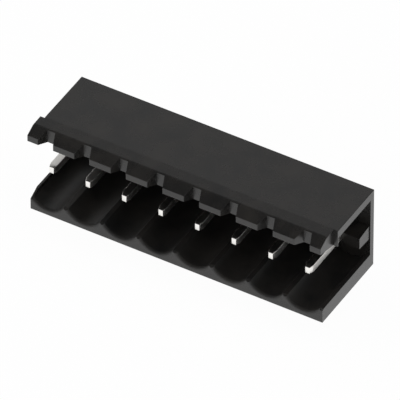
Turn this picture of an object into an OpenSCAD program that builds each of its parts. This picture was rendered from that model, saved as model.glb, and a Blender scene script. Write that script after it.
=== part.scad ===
// Right-angle pin header for a printed circuit board.
// A moulded housing, open at both ends, takes a screw terminal plug from the front (-Y).
// Its floor is scalloped under each pin, and its top plate ends in a toothed latching lip.
// Origin: middle of the pin row, middle of the floor's depth, on the board. +Z points away from the board.

/* [Row] */
// Number of poles in the row
poles = 8; // [2:1:10]
// Distance from one pole to the next
pitch = 5.08; // [4.8:0.02:7.62]

/* [Housing] */
// Depth of the housing, from the floor's front edge to the rear face
housing_d = 12.25; // [11.5:0.05:16]
// Height of the housing above the board
housing_h = 11.9; // [11.2:0.1:15]
// Thickness of the top plate
top_t = 1.15; // [0.8:0.05:1.6]
// Thickness of the back wall
back_t = 0.8; // [0.6:0.05:1.6]
// How far floor, top plate and back wall stand past the lip at the right end, and fall short of it at the left
key_len = 0.6; // [0.2:0.05:1]
// How far the lip's latching rear face lies behind that offset
key_back = 0.15; // [0.1:0.05:0.8]

/* [Scalloped floor] */
// Thickness of the floor at the bottom of a scallop
floor_t = 0.9; // [0.7:0.05:1.2]
// Height of the ridges between scallops
ridge_h = 2.05; // [2.05:0.05:2.6]
// Width of the flat on top of a ridge
ridge_flat = 0.6; // [0.2:0.05:1]
// Offset of the scallops from the poles, towards the right end
scallop_shift = 0.4; // [0:0.05:0.6]
// Radius of the flare at the front of a scallop
flare_r = 0.45; // [0.2:0.05:0.5]
// Thickness of the rim at the left end of the floor
end_rim = 0.3; // [0.2:0.05:0.6]
// Height of that rim
rim_h = 2.35; // [2.1:0.05:2.8]
// Height of the lead-in at the front of a ridge
ridge_lead = 0.2; // [0.1:0.05:0.5]
// Height of the lead-in at the front of the rim
rim_lead = 0.75; // [0.3:0.05:1]
// Angle of the lead-ins
lead_angle = 27; // [15:1:40]

/* [Latching lip] */
// Distance of the lip's front face behind the floor's front edge
lip_setback = 0.45; // [0:0.05:1]
// Depth of the lip from its front face to its latching rear face
lip_d = 3.25; // [2.8:0.05:4]
// Height of the lip's flat front face
lip_face_h = 0.93; // [0.5:0.01:1.2]
// Fall of the lip's upper face, from the crease where it meets the top plate to its nose
lip_fall = 0.06; // [0.02:0.02:0.2]
// Drop from the top plate to the upper edge of the lip's front face
nose_drop = 0.75; // [0.5:0.05:1]
// Depth of the sloping nose between the lip's upper face and its front face
nose_d = 1.4; // [1:0.05:2]
// Height of the lip at its latching rear face
hook_h = 2.5; // [2.2:0.05:3.2]
// Width of a tooth at the front of the lip
tooth_w = 2.95; // [2.4:0.05:3.2]
// Width of a notch between teeth at its inner end
notch_w = 1.05; // [0.6:0.05:1.4]
// Depth of a notch from the lip's front face
notch_d = 1.45; // [1:0.05:2]

/* [Pin rail] */
// How far the rail that carries the pins stands out from the back wall
rail_d = 2.4; // [1.5:0.05:3]
// Thickness of the rail above a pin, at the rail's front
rail_over = 0.2; // [0.15:0.05:0.8]
// Thickness of the rail below a pin, at the rail's front
rail_under = 0.35; // [0.3:0.05:1]
// Rise of the rail's upper face, from its front into the wall
rail_rise = 0.35; // [0:0.05:0.5]
// Fall of the rail's lower face, from its front into the wall
rail_fall = 0.15; // [0:0.05:0.3]
// Distance of the rail's ends inside the ends of the back wall
rail_inset = 0.12; // [0:0.02:1]

/* [Pins] */
// Width of a pin along the row
pin_w = 1; // [0.6:0.05:1.2]
// Height of a pin's contact blade
pin_h = 1.05; // [0.6:0.05:1.2]
// Height of the pins' centre line above the board
pin_z = 5.65; // [5:0.05:6.5]
// Distance of the pin tips behind the floor's front edge
tip_setback = 1.8; // [1:0.05:4]
// Length of the taper at a pin's contact tip
tip_len = 0.65; // [0.3:0.05:1.2]
// Width of the flat at a pin's contact tip
tip_w = 0.6; // [0.3:0.05:0.6]
// Height of the flat at a pin's contact tip
tip_h = 0.95; // [0.3:0.05:1]
// Radius of the bend behind the wall, to the middle of the pin
bend_r = 1.1; // [0.9:0.05:2]
// Gap between the back wall and the start of the bend
bend_gap = 0.3; // [0.1:0.05:1]
// Length of the solder tail below the board face
tail_len = 3.5; // [2:0.1:5]
// Clearance on each side of a pin in its passage
pin_clear = 0.02; // [0.01:0.01:0.1]

/* [Hidden] */
$fn = 96;
row_len = poles * pitch;
first_pole = (pitch - row_len) / 2;
lip_left = -row_len / 2;
wall_left = lip_left + key_len;

y_front = -housing_d / 2;
y_back = housing_d / 2;
y_inner = y_back - back_t;
y_lip = y_front + lip_setback;
y_hook = y_lip + lip_d;
y_key = y_hook - key_back;
y_rail = y_inner - rail_d;
y_tip = y_front + tip_setback;
y_bend = y_back + bend_gap;

scallop_rise = ridge_h - floor_t;
scallop_half = (pitch - ridge_flat) / 2;
scallop_r = (scallop_half * scallop_half + scallop_rise * scallop_rise) / (2 * scallop_rise);

// Overshoot of a cutter past the faces that it cuts
over = 0.5;

function pole_x(i) = first_pole + (i - 1) * pitch;
PINS = [for (i = [1 : poles]) str("pin_", i)];

// Extrudes a (Y, Z) section along +X, from x
module section(x, length) {
    translate([x, 0, 0])
        rotate([90, 0, 90])
            linear_extrude(length)
                children();
}

// One scallop along the housing's depth, with a flared mouth that rounds its front edge
module scallop() {
    translate([0, y_front, floor_t + scallop_r])
        rotate([-90, 0, 0])
            rotate_extrude() {
                translate([0, -over])
                    square([scallop_r, y_inner - y_front + over]);
                difference() {
                    translate([0, -over])
                        square([scallop_r + flare_r, flare_r + over]);
                    translate([scallop_r + flare_r, flare_r])
                        circle(flare_r);
                }
            }
}

// Section through the floor at a given height, with a lead-in at its front
module floor_section(height, lead) {
    polygon([
        [y_front, 0],
        [y_back, 0],
        [y_back, height],
        [y_front + lead / tan(lead_angle), height],
        [y_front, height - lead]
    ]);
}

module scalloped_floor() {
    difference() {
        section(wall_left + end_rim, row_len - end_rim)
            floor_section(ridge_h, ridge_lead);
        for (i = [1 : poles])
            translate([pole_x(i) + scallop_shift, 0, 0])
                scallop();
    }
    section(wall_left, end_rim)
        floor_section(rim_h, rim_lead);
}

// Back wall and top plate, which meet in one corner
module walls() {
    section(wall_left, row_len) {
        translate([y_inner, 0])
            square([back_t, housing_h]);
        translate([y_hook, housing_h - top_t])
            square([y_back - y_hook, top_t]);
    }
}

// Falling upper face, sloping nose, flat front face, lead-in ramp and latching rear face
module lip_section() {
    z_face = housing_h - nose_drop;
    polygon([
        [y_lip, z_face - lip_face_h],
        [y_hook, housing_h - hook_h],
        [y_hook, housing_h],
        [y_lip + nose_d, housing_h - lip_fall],
        [y_lip, z_face]
    ]);
}

// Plan of a notch, which narrows towards its inner end
module notch() {
    mouth_w = pitch - tooth_w;
    spread = (mouth_w - notch_w) / 2 / notch_d;
    outer = mouth_w / 2 + spread * over;
    linear_extrude(housing_h + over)
        polygon([
            [-outer, y_lip - over],
            [outer, y_lip - over],
            [notch_w / 2, y_lip + notch_d],
            [-notch_w / 2, y_lip + notch_d]
        ]);
}

// The lip in front of the offset lies between the poles' ends, the rest between the ends of the walls
module lip() {
    difference() {
        union() {
            section(lip_left, row_len)
                intersection() {
                    lip_section();
                    translate([y_lip, 0])
                        square([y_key - y_lip, housing_h]);
                }
            section(wall_left, row_len)
                intersection() {
                    lip_section();
                    translate([y_key, 0])
                        square([key_back, housing_h]);
                }
        }
        for (i = [1 : poles])
            translate([pole_x(i), 0, 0])
                notch();
    }
}

module pin_rail() {
    low = pin_z - pin_h / 2 - rail_under;
    high = pin_z + pin_h / 2 + rail_over;
    section(wall_left + rail_inset, row_len - 2 * rail_inset)
        polygon([
            [y_rail, low],
            [y_inner + back_t / 2, low - rail_fall],
            [y_inner + back_t / 2, high + rail_rise],
            [y_rail, high]
        ]);
}

module pin_passage() {
    width = pin_w + 2 * pin_clear;
    height = pin_h + 2 * pin_clear;
    translate([-width / 2, y_rail - over, pin_z - height / 2])
        cube([width, y_back - y_rail + 2 * over, height]);
}

module housing() {
    color("#2b2b2b")
        difference() {
            union() {
                scalloped_floor();
                walls();
                lip();
                pin_rail();
            }
            for (i = [1 : poles])
                translate([pole_x(i), 0, 0])
                    pin_passage();
        }
}

// Outline of a bar along +Y whose far end tapers
module bar_outline(length, width, end_w) {
    polygon([
        [-width / 2, 0],
        [width / 2, 0],
        [width / 2, length - tip_len],
        [end_w / 2, length],
        [-end_w / 2, length],
        [-width / 2, length - tip_len]
    ]);
}

// Square bar along +Z, tapered on all four sides at its far end
module bar(length) {
    intersection() {
        rotate([90, 0, 0])
            linear_extrude(pin_h, center = true)
                bar_outline(length, pin_w, tip_w);
        rotate([90, 0, 90])
            linear_extrude(pin_w, center = true)
                bar_outline(length, pin_h, tip_h);
    }
}

// Contact blade to the front, a bend behind the back wall, and a tail down through the board
module pin(i) {
    color("#d9d6cf")
        translate([pole_x(i), 0, 0]) {
            translate([0, y_bend, pin_z])
                rotate([90, 0, 0])
                    bar(y_bend - y_tip);
            translate([0, y_bend, pin_z - bend_r])
                rotate([90, 0, 90])
                    rotate_extrude(angle = 90)
                        translate([bend_r - pin_h / 2, -pin_w / 2])
                            square([pin_h, pin_w]);
            translate([0, y_bend + bend_r, pin_z - bend_r])
                rotate([180, 0, 0])
                    bar(pin_z - bend_r + tail_len);
        }
}

housing();
for (i = [1 : poles])
    pin(i);
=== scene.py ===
"""Looks of a right-angle circuit board header: black moulded housing and a row of tinned pins.

All lengths are in metres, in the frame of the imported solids: +X along the pin row, -Y towards the plug,
+Z away from the board.
"""
import math

import bmesh
import bpy
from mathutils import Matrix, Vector


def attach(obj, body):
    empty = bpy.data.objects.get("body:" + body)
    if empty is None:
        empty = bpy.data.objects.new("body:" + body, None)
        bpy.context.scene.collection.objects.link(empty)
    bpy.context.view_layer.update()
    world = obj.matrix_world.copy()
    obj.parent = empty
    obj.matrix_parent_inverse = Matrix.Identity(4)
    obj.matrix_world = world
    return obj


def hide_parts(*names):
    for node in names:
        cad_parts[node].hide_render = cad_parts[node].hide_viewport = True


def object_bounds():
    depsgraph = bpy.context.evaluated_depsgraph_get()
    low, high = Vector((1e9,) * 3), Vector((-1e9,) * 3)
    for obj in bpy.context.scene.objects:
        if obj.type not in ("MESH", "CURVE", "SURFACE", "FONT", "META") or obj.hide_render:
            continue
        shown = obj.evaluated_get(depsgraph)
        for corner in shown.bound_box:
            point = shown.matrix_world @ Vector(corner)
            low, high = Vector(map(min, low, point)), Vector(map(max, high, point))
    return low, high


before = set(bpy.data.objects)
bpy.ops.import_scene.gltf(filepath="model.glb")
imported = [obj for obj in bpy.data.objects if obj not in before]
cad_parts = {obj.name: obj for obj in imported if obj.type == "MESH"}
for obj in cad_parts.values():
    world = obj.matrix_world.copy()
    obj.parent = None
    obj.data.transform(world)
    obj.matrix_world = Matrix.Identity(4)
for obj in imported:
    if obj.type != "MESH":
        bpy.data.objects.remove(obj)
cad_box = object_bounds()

MM = 0.001

# View of the photograph: a long lens, from the front and the right, looking down on the top face
AZIMUTH = math.radians(30.4)
ELEVATION = math.radians(41.6)
VIEW_DISTANCE = 1370 * MM
FRAMED_WIDTH = 47.994 * MM
AIM = Vector((0.43, -0.02, 5.747)) * MM
SENSOR_WIDTH_MM = 36
VIEW_REACH = 20

# Clean-up of a solid's mesh: points this near are one, and faces this flat are one face.
# The lip's hair-thin steps are welded too.
WELD = 0.0005 * MM
FLAT_ANGLE = math.radians(0.5)
LIP_WELD = 0.06 * MM

# Edges sharper than EDGE_ANGLE are rounded, by at most a share of the shortest edge that meets them.
# FLAT_WEIGHT makes the wide faces set the shading, so that they look flat between the roundings.
EDGE_ANGLE = math.radians(20)
ROOM_SHARE = 0.35
EDGE_SEGMENTS = 3
FLAT_WEIGHT = 100

# Rounding of the housing: its outer edges, the blunt edge above the lip's nose, the slight crease between two
# wide faces, and the edges that look crisp but need a trace of rounding to keep flat shading beside them
MOULD_EDGE = 0.07 * MM
NOSE_EDGE = 0.35 * MM
NOSE_ANGLE = math.radians(26)
CREASE_EDGE = 0.03 * MM
WIDE_FACE = 20 * MM * MM
CRISP_EDGE = 0.0005 * MM

# Where outer edges stay crisp. Corners: behind LIP_REAR, and under the lip from LIP_FOOT to LIP_LOW.
# Ridges: from the front back to RIDGE_NOSE, between RIDGE_LOW and RIDGE_TOP.
LIP_REAR = -2.3 * MM
LIP_FOOT = 9 * MM
LIP_LOW = 10 * MM
RIDGE_NOSE = 0.6 * MM
RIDGE_LOW = 0.5 * MM
RIDGE_TOP = 2.1 * MM

# Rounding of the pins: the wire's long edges, its tips and bends, and the length that tells them apart
WIRE_EDGE = 0.07 * MM
TIP_EDGE = 0.05 * MM
WIRE_LENGTH = 2 * MM

# The scallops lie under this height; a face counts as theirs from steep to open by how far it looks up
SCALLOP_TOP = 2.4 * MM
SCALLOP_STEEP = 0.1
SCALLOP_OPEN = 0.5

# Studio: a wide floor just under the tails, a dim room above the white backdrop, and lamps round the part
WHITE = (1, 1, 1, 1)
WHITE_SHARE = 0.97
FLOOR_SIZE = 6.0
FLOOR_GAP = 0.02 * MM
ROOM = 0.1
BACKDROP_TOP = math.radians(12)
LAMP_DISTANCE = 1.0


def linear(hex_colour):
    """sRGB hex to linear RGBA, by the sRGB curve: a straight foot, then a power of 2.4."""
    channels = [int(hex_colour[i:i + 2], 16) / 255 for i in (1, 3, 5)]
    curve = [c / 12.92 if c <= 0.04045 else ((c + 0.055) / 1.055) ** 2.4 for c in channels]
    return (*curve, 1.0)


def per_mm(size_mm):
    """Texture scale at which one cell of a pattern is size_mm wide on Object coordinates in metres."""
    return 1 / (size_mm * MM)


def add(tree, kind, inputs=None, **settings):
    """Adds a node: settings are its properties, inputs its sockets by name or number.

    An input is a value, or another node's socket to link.
    """
    node = tree.nodes.new(kind)
    for name, value in settings.items():
        setattr(node, name, value)
    for name, value in (inputs or {}).items():
        if isinstance(value, bpy.types.NodeSocket):
            tree.links.new(value, node.inputs[name])
        else:
            node.inputs[name].default_value = value
    return node


def new_material(name):
    """An empty material and its node tree."""
    material = bpy.data.materials.new(name)
    material.use_nodes = True
    material.node_tree.nodes.clear()
    return material, material.node_tree


def moulded_black_plastic():
    """Black polyamide, injection moulded in a spark-eroded tool: dark, semi-matt, with a fine even grain.

    Where the melt flowed, its tone and gloss drift a little. The scallops come off a coarser core, so they
    are duller than the outer faces. The grain is drawn coarser than a real one, so that it shows.
    """
    material, tree = new_material("moulded_black_polyamide")
    place = add(tree, "ShaderNodeTexCoord").outputs["Object"]
    normal = add(tree, "ShaderNodeNewGeometry").outputs["Normal"]
    height = add(tree, "ShaderNodeSeparateXYZ", {0: place}).outputs["Z"]
    facing = add(tree, "ShaderNodeSeparateXYZ", {0: normal}).outputs["Z"]
    low = add(tree, "ShaderNodeMath", {0: height, 1: SCALLOP_TOP}, operation="LESS_THAN")
    up = add(tree, "ShaderNodeMapRange",
             {"Value": facing, "From Min": SCALLOP_STEEP, "From Max": SCALLOP_OPEN})
    scallop = add(tree, "ShaderNodeMath", {0: low.outputs[0], 1: up.outputs["Result"]}, operation="MULTIPLY")
    grain = add(tree, "ShaderNodeTexNoise", {"Vector": place, "Scale": per_mm(0.14), "Detail": 2.0})
    flow = add(tree, "ShaderNodeTexNoise", {"Vector": place, "Scale": per_mm(3.0), "Detail": 4.0})
    tone = add(tree, "ShaderNodeValToRGB", {"Fac": flow.outputs["Fac"]})
    for stop, position, colour in zip(tone.color_ramp.elements, (0.3, 0.7), ("#141414", "#23211f")):
        stop.position = position
        stop.color = linear(colour)
    gloss = add(tree, "ShaderNodeMapRange", {"Value": flow.outputs["Fac"], "To Min": 0.2, "To Max": 0.34})
    dull = add(tree, "ShaderNodeMapRange",
               {"Value": scallop.outputs[0], "To Min": gloss.outputs["Result"], "To Max": 0.48})
    bump = add(tree, "ShaderNodeBump",
               {"Height": grain.outputs["Fac"], "Strength": 0.25, "Distance": 0.01 * MM})
    shader = add(tree, "ShaderNodeBsdfPrincipled", {
        "Base Color": tone.outputs["Color"],
        "Roughness": dull.outputs["Result"],
        "IOR": 1.53,
        "Normal": bump.outputs["Normal"],
    })
    add(tree, "ShaderNodeOutputMaterial", {"Surface": shader.outputs["BSDF"]})
    return material


def bright_tin():
    """Tin plated on drawn brass wire: bright, a little soft, with faint lines along the wire.

    The lines are drawn coarser than real ones, so that they show.
    """
    material, tree = new_material("tin_plated_brass")
    place = add(tree, "ShaderNodeTexCoord").outputs["Object"]
    lines = add(tree, "ShaderNodeMapping",
                {"Vector": place, "Scale": (per_mm(0.08), per_mm(3.0), per_mm(3.0))})
    drawn = add(tree, "ShaderNodeTexNoise", {"Vector": lines.outputs["Vector"], "Scale": 1.0, "Detail": 2.0})
    gloss = add(tree, "ShaderNodeMapRange", {"Value": drawn.outputs["Fac"], "To Min": 0.26, "To Max": 0.34})
    bump = add(tree, "ShaderNodeBump",
               {"Height": drawn.outputs["Fac"], "Strength": 0.15, "Distance": 0.005 * MM})
    shader = add(tree, "ShaderNodeBsdfPrincipled", {
        "Base Color": linear("#f8f6f2"),
        "Metallic": 1.0,
        "Roughness": gloss.outputs["Result"],
        "Normal": bump.outputs["Normal"],
    })
    add(tree, "ShaderNodeOutputMaterial", {"Surface": shader.outputs["BSDF"]})
    return material


def white_where_seen(tree, lit):
    """White to the eye and in reflections, the lit surface to all other rays.

    The white is a share short of whole, so that the lit surface keeps the shadows.
    """
    path = add(tree, "ShaderNodeLightPath")
    seen = add(tree, "ShaderNodeMath", {0: path.outputs["Is Camera Ray"], 1: path.outputs["Is Glossy Ray"]},
               operation="MAXIMUM")
    seen = add(tree, "ShaderNodeMath", {0: seen.outputs[0], 1: path.outputs["Is Transmission Ray"]},
               operation="MAXIMUM")
    share = add(tree, "ShaderNodeMath", {0: seen.outputs[0], 1: WHITE_SHARE}, operation="MULTIPLY")
    white = add(tree, "ShaderNodeEmission", {"Color": WHITE, "Strength": 1.0})
    return add(tree, "ShaderNodeMixShader", {0: share.outputs[0], 1: lit, 2: white.outputs[0]}).outputs[0]


def room_beside(edge):
    """Largest rounding that the edges which meet this one leave room for."""
    return ROOM_SHARE * min(e.calc_length() for v in edge.verts for e in v.link_edges)


def mould_rounding(edge):
    """Rounding of one of the housing's edges.

    Inner corners stay crisp. So do the edges that run into them behind and under the lip, and the ridges'
    pointed fronts.
    """
    depth = min(v.co.y for v in edge.verts) - cad_box[0].y
    heights = [v.co.z for v in edge.verts]
    pointed = depth < RIDGE_NOSE and min(heights) > RIDGE_LOW and max(heights) < RIDGE_TOP
    hidden = [v for v in edge.verts if v.co.y > LIP_REAR or LIP_FOOT < v.co.z < LIP_LOW]
    cornered = any(not e.is_convex for v in hidden for e in v.link_edges)
    if pointed or cornered or not edge.is_convex:
        return CRISP_EDGE
    return NOSE_EDGE if edge.calc_face_angle() < NOSE_ANGLE else MOULD_EDGE


def wire_rounding(edge):
    """Rounding of one of a pin's edges: more on the long ones."""
    return WIRE_EDGE if edge.calc_length() > WIRE_LENGTH else TIP_EDGE


def edged(node, rounding, material):
    """The solid's own surface, in place of the plain node.

    Flat faces are made whole. Each edge is rounded by what rounding(edge) gives, as far as there is room,
    and a slight crease between two wide faces is rounded a little. A bevel weight is an edge's share of the
    largest rounding.
    """
    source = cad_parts[node]
    mesh = bpy.data.meshes.new(node + "_surface")
    work = bmesh.new()
    work.from_mesh(source.data)
    bmesh.ops.remove_doubles(work, verts=work.verts, dist=WELD)
    bmesh.ops.dissolve_limit(work, angle_limit=FLAT_ANGLE, verts=work.verts, edges=work.edges)
    bmesh.ops.remove_doubles(work, verts=[v for v in work.verts if v.co.z > LIP_LOW], dist=LIP_WELD)
    weight = work.edges.layers.float.new("bevel_weight_edge")
    for face in work.faces:
        face.smooth = True
    sizes = {}
    for edge in work.edges:
        angle = edge.calc_face_angle(0)
        if angle > EDGE_ANGLE:
            sizes[edge] = min(rounding(edge), room_beside(edge))
        elif angle > FLAT_ANGLE and all(f.calc_area() > WIDE_FACE for f in edge.link_faces):
            sizes[edge] = min(CREASE_EDGE, room_beside(edge))
    largest = max(sizes.values())
    for edge, size in sizes.items():
        edge[weight] = size / largest
    work.to_mesh(mesh)
    work.free()
    mesh.materials.clear()
    mesh.materials.append(material)
    piece = bpy.data.objects.new(node + "_surface", mesh)
    bpy.context.scene.collection.objects.link(piece)
    bevel = piece.modifiers.new("edges", "BEVEL")
    bevel.width = largest
    bevel.segments = EDGE_SEGMENTS
    bevel.limit_method = "WEIGHT"
    bevel.use_clamp_overlap = False
    flats = piece.modifiers.new("flats", "WEIGHTED_NORMAL")
    flats.mode = "FACE_AREA"
    flats.weight = FLAT_WEIGHT
    flats.keep_sharp = True
    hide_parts(node)
    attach(piece, "root")


def make_floor(height):
    """A plain pale square, level at the given height and centred under the part."""
    mesh = bpy.data.meshes.new("floor")
    half = FLOOR_SIZE / 2
    corners = [(-half, -half, height), (half, -half, height), (half, half, height), (-half, half, height)]
    mesh.from_pydata(corners, [], [(0, 1, 2, 3)])
    floor = bpy.data.objects.new("floor", mesh)
    bpy.context.scene.collection.objects.link(floor)
    material, tree = new_material("pale_floor")
    lit = add(tree, "ShaderNodeBsdfDiffuse", {"Color": linear("#f4f4f4")})
    add(tree, "ShaderNodeOutputMaterial", {"Surface": white_where_seen(tree, lit.outputs[0])})
    material.cycles.emission_sampling = "NONE"
    mesh.materials.append(material)


def make_world():
    """A dim room behind a white backdrop.

    It is all white to the eye, and white in reflections up to the backdrop's top.
    """
    world = bpy.data.worlds.new("studio")
    world.use_nodes = True
    tree = world.node_tree
    tree.nodes.clear()
    path = add(tree, "ShaderNodeLightPath")
    way = add(tree, "ShaderNodeTexCoord").outputs["Generated"]
    rise = add(tree, "ShaderNodeSeparateXYZ", {0: way}).outputs["Z"]
    low = add(tree, "ShaderNodeMath", {0: rise, 1: math.sin(BACKDROP_TOP)}, operation="LESS_THAN")
    mirrored = add(tree, "ShaderNodeMath",
                   {0: path.outputs["Is Glossy Ray"], 1: path.outputs["Is Transmission Ray"]},
                   operation="MAXIMUM")
    shown = add(tree, "ShaderNodeMath", {0: mirrored.outputs[0], 1: low.outputs[0]}, operation="MULTIPLY")
    seen = add(tree, "ShaderNodeMath", {0: path.outputs["Is Camera Ray"], 1: shown.outputs[0]},
               operation="MAXIMUM")
    room = add(tree, "ShaderNodeBackground", {"Color": WHITE, "Strength": ROOM})
    white = add(tree, "ShaderNodeBackground", {"Color": WHITE, "Strength": 1.0})
    mixed = add(tree, "ShaderNodeMixShader", {0: seen.outputs[0], 1: room.outputs[0], 2: white.outputs[0]})
    add(tree, "ShaderNodeOutputWorld", {"Surface": mixed.outputs[0]})
    bpy.context.scene.world = world


def softbox(name, azimuth, elevation, width, height, brightness, mirrored):
    """A lamp that faces the part from a compass angle (0 is +Y, 90 is +X) and an angle above the floor.

    brightness is that of its face, so its power is that times pi and its area. mirrored tells whether shiny
    surfaces show it.
    """
    a, e = math.radians(azimuth), math.radians(elevation)
    way = Vector((math.sin(a) * math.cos(e), math.cos(a) * math.cos(e), math.sin(e)))
    lamp = bpy.data.lights.new(name, "AREA")
    lamp.shape = "RECTANGLE"
    lamp.size = width
    lamp.size_y = height
    lamp.energy = brightness * math.pi * width * height
    holder = bpy.data.objects.new(name, lamp)
    holder.location = AIM + way * LAMP_DISTANCE
    holder.rotation_euler = (-way).to_track_quat("-Z", "Y").to_euler()
    holder.visible_glossy = mirrored
    bpy.context.scene.collection.objects.link(holder)


def make_camera():
    """The photograph's view: its frame is FRAMED_WIDTH wide at the aim, which sets the lens."""
    back = Vector((
        math.sin(AZIMUTH) * math.cos(ELEVATION),
        -math.cos(AZIMUTH) * math.cos(ELEVATION),
        math.sin(ELEVATION),
    ))
    data = bpy.data.cameras.new("camera")
    data.sensor_width = SENSOR_WIDTH_MM
    data.lens = SENSOR_WIDTH_MM * VIEW_DISTANCE / FRAMED_WIDTH
    data.clip_end = VIEW_REACH
    camera = bpy.data.objects.new("camera", data)
    camera.location = AIM + back * VIEW_DISTANCE
    camera.rotation_euler = (-back).to_track_quat("-Z", "Y").to_euler()
    bpy.context.scene.collection.objects.link(camera)
    bpy.context.scene.camera = camera


make_camera()
make_world()
make_floor(cad_box[0].z - FLOOR_GAP)
softbox("panel_behind", azimuth=-32, elevation=22, width=1.5, height=0.87, brightness=0.6, mirrored=True)
softbox("left_fill", azimuth=-95, elevation=42, width=0.8, height=1.1, brightness=1.7, mirrored=False)
softbox("front_fill", azimuth=-155, elevation=25, width=1.2, height=0.8, brightness=1.7, mirrored=False)
softbox("right_fill", azimuth=95, elevation=50, width=0.8, height=1.3, brightness=1.6, mirrored=False)
bpy.context.scene.view_settings.view_transform = "Standard"

plastic = moulded_black_plastic()
tin = bright_tin()
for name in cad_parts:
    if name == "housing":
        edged(name, mould_rounding, plastic)
    else:
        edged(name, wire_rounding, tin)
